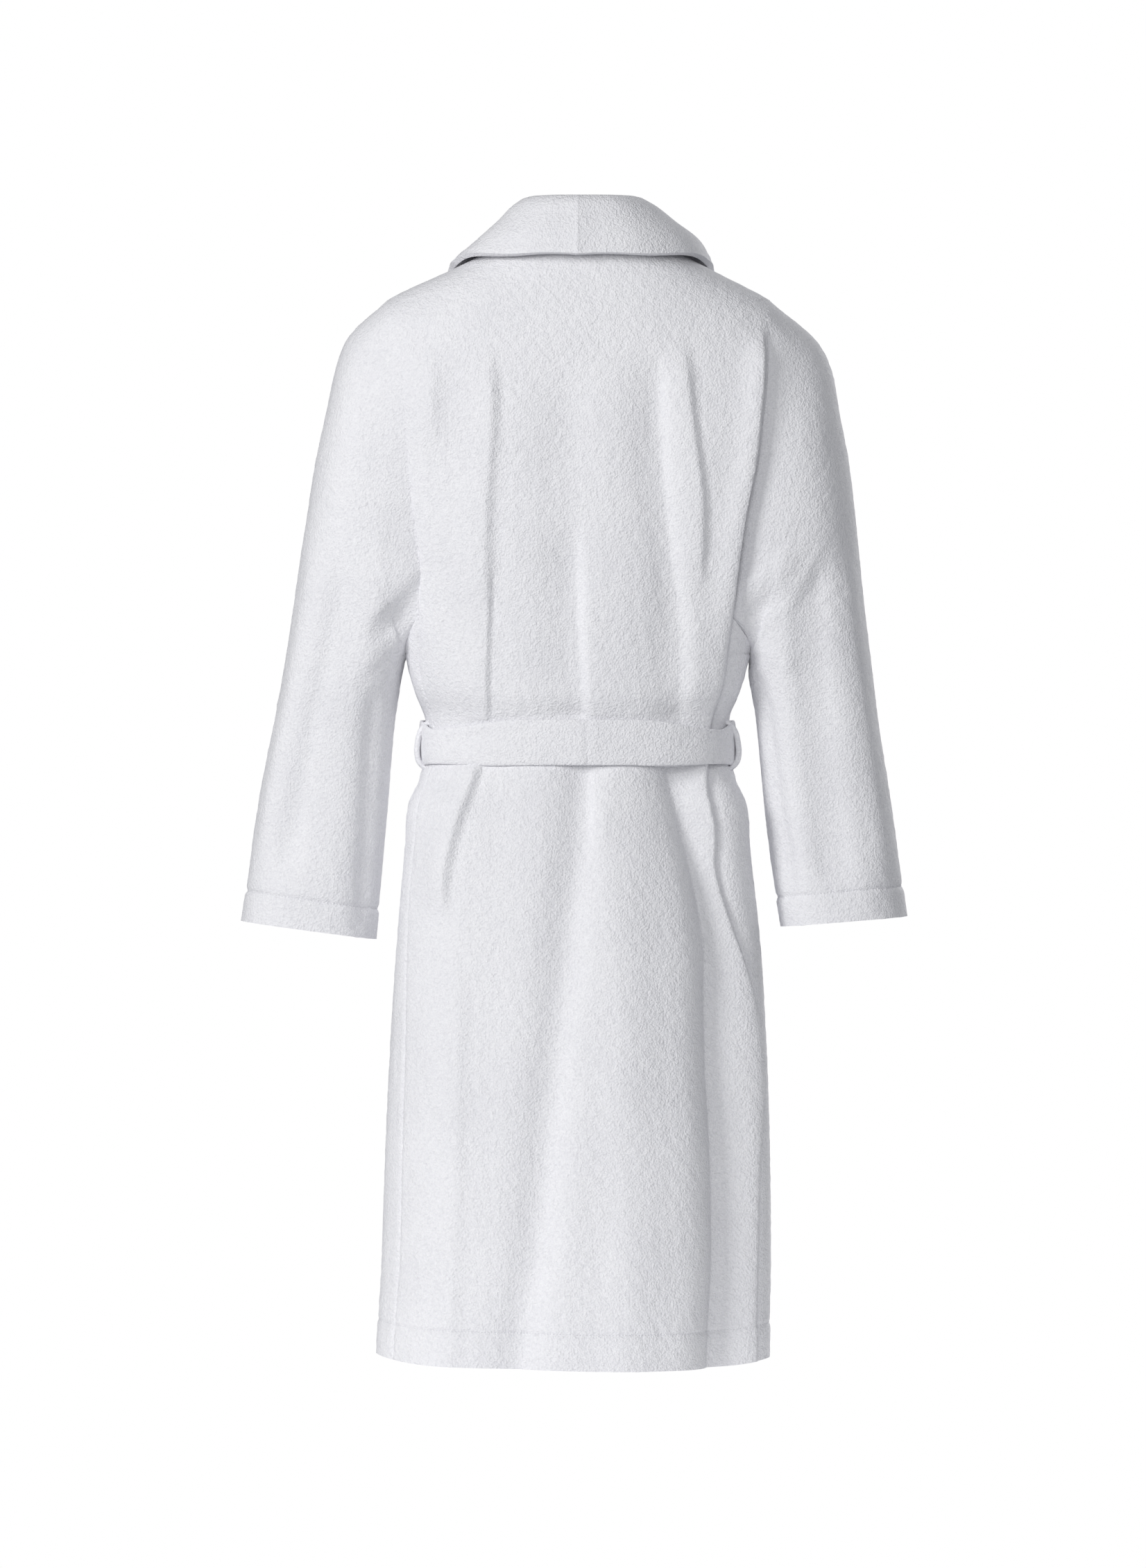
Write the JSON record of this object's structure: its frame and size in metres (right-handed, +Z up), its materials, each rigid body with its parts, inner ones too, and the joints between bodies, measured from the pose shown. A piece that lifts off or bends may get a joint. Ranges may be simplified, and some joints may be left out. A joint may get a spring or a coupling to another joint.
{
  "type": "bathrobe",
  "caption": "White towelling bathrobe with a shawl collar, long sleeves, patch pockets and a tied belt; the sleeves, front corner, belt ends and hanger loop move.",
  "frame": {"origin": "centre-back point of the neck seam, where the hanger loop is sewn in", "axes": "+Z up with the robe hanging, the wearer faces -Y, +X is the wearer's left"},
  "size_m": [0.696, 0.2711, 1.2191],
  "materials": {
    "terry_body": "looped cotton pile, matt",
    "terry_double": "two layers of looped cotton pile, matt",
    "terry_hem": "turned and stitched cotton pile, matt",
    "cotton_tape": "flat woven cotton",
    "label_weave": "fine woven ribbon, soft sheen"
  },
  "bodies": {
    "robe": {"back_panel": "terry_body", "hem_band_back": "terry_hem", "front_panel_right": "terry_body", "hem_band_right": "terry_hem", "front_panel_left": "terry_body", "hem_band_left": "terry_hem", "collar_left": "terry_double", "collar_right": "terry_double", "collar_stand": "terry_double", "neck_tape": "cotton_tape", "neck_label": "label_weave", "care_label": "label_weave", "belt_wrap": "terry_double", "belt_knot": "terry_double", "belt_loop_left": "cotton_tape", "belt_loop_right": "cotton_tape", "pocket_left": "terry_body", "pocket_band_left": "terry_double", "pocket_right": "terry_body", "pocket_band_right": "terry_double"},
    "sleeve_left": {"sleeve_left": "terry_body", "cuff_left": "terry_hem"},
    "sleeve_right": {"sleeve_right": "terry_body", "cuff_right": "terry_hem"},
    "front_flap": {"front_flap_left": "terry_body", "hem_band_flap": "terry_hem"},
    "belt_end_left": {"belt_end_left": "terry_double"},
    "belt_end_right": {"belt_end_right": "terry_double"},
    "hanger_loop": {"hanger_loop": "cotton_tape"}
  },
  "joints": [
    {"name": "sleeve_left_lift", "type": "hinge", "parent": "robe", "child": "sleeve_left", "pos_m": [0.2, -0.063, -0.07], "axis": [0, -1, 0], "range_deg": [0, 50]},
    {"name": "sleeve_right_lift", "type": "hinge", "parent": "robe", "child": "sleeve_right", "pos_m": [-0.2, -0.063, -0.07], "axis": [0, 1, 0], "range_deg": [0, 50]},
    {"name": "front_flap_open", "type": "hinge", "parent": "robe", "child": "front_flap", "pos_m": [-0.045, -0.2108, -0.64], "axis": [-0.2328, 0.0222, 0.9723], "range_deg": [0, 45]},
    {"name": "belt_end_left_lift", "type": "hinge", "parent": "robe", "child": "belt_end_left", "pos_m": [-0.073, -0.1938, -0.557], "axis": [-1, 0, 0], "range_deg": [0, 60]},
    {"name": "belt_end_right_lift", "type": "hinge", "parent": "robe", "child": "belt_end_right", "pos_m": [-0.117, -0.1938, -0.557], "axis": [-1, 0, 0], "range_deg": [0, 60]},
    {"name": "hanger_loop_flip", "type": "hinge", "parent": "robe", "child": "hanger_loop", "pos_m": [0, -0.016, -0.004], "axis": [-1, 0, 0], "range_deg": [0, 150]}
  ]
}
